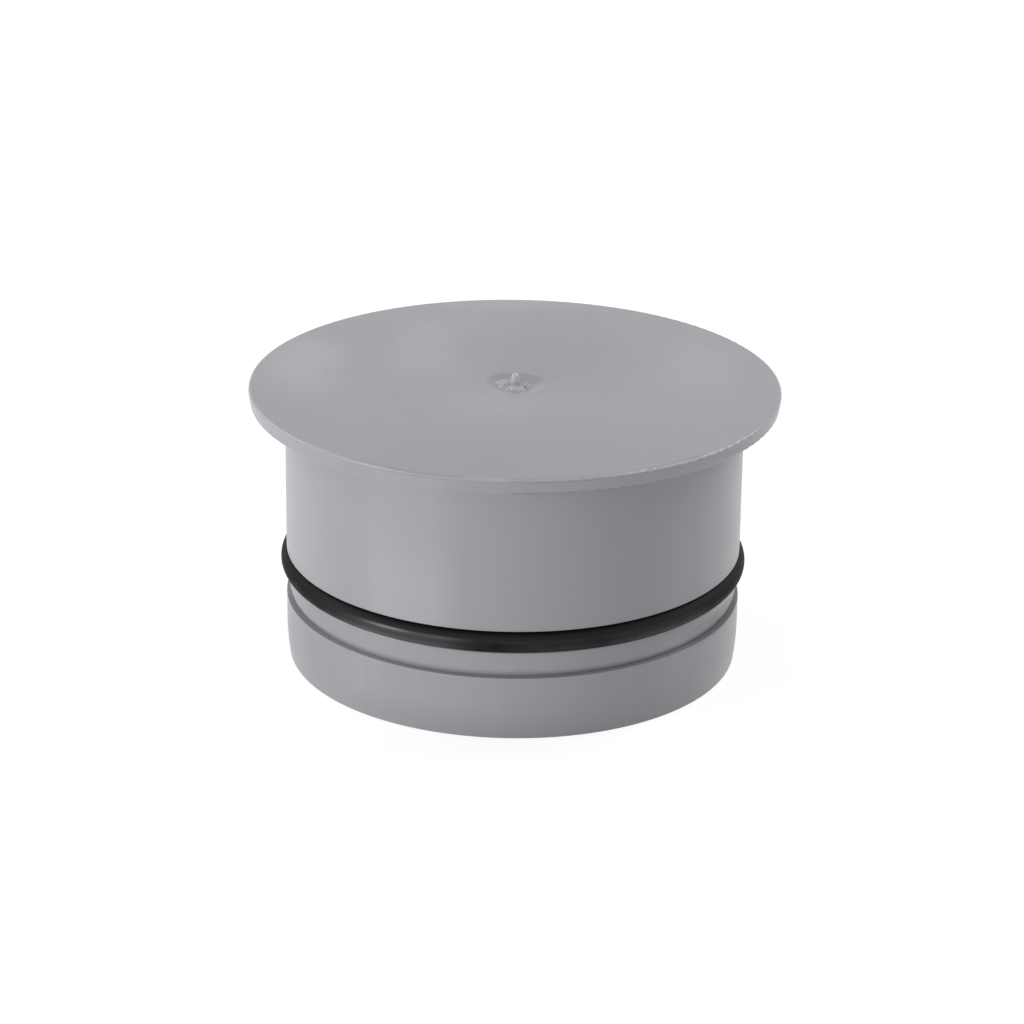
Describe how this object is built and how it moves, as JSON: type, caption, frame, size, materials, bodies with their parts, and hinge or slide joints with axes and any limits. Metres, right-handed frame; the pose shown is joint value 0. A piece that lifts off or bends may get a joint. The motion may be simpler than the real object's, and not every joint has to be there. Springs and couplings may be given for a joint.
{
  "type": "pipe end cap",
  "caption": "Push-in end cap for a drain pipe socket: a flat round flange on a hollow spigot with a rubber sealing ring in a groove above a short guiding nose.",
  "frame": {"origin": "centre of the open mouth, on the surface that the cap stands on", "axes": "+Z along the cap's axis, from the open mouth to the flange; X and Y are equal"},
  "size_m": [0.1274, 0.1274, 0.0708],
  "materials": {
    "plug_plastic": "mid grey injection moulded plastic with a soft satin sheen",
    "seal_rubber": "black rubber, lightly greased"
  },
  "bodies": {
    "root": {"plug_body": "plug_plastic", "seal_ring": "seal_rubber"}
  },
  "joints": []
}
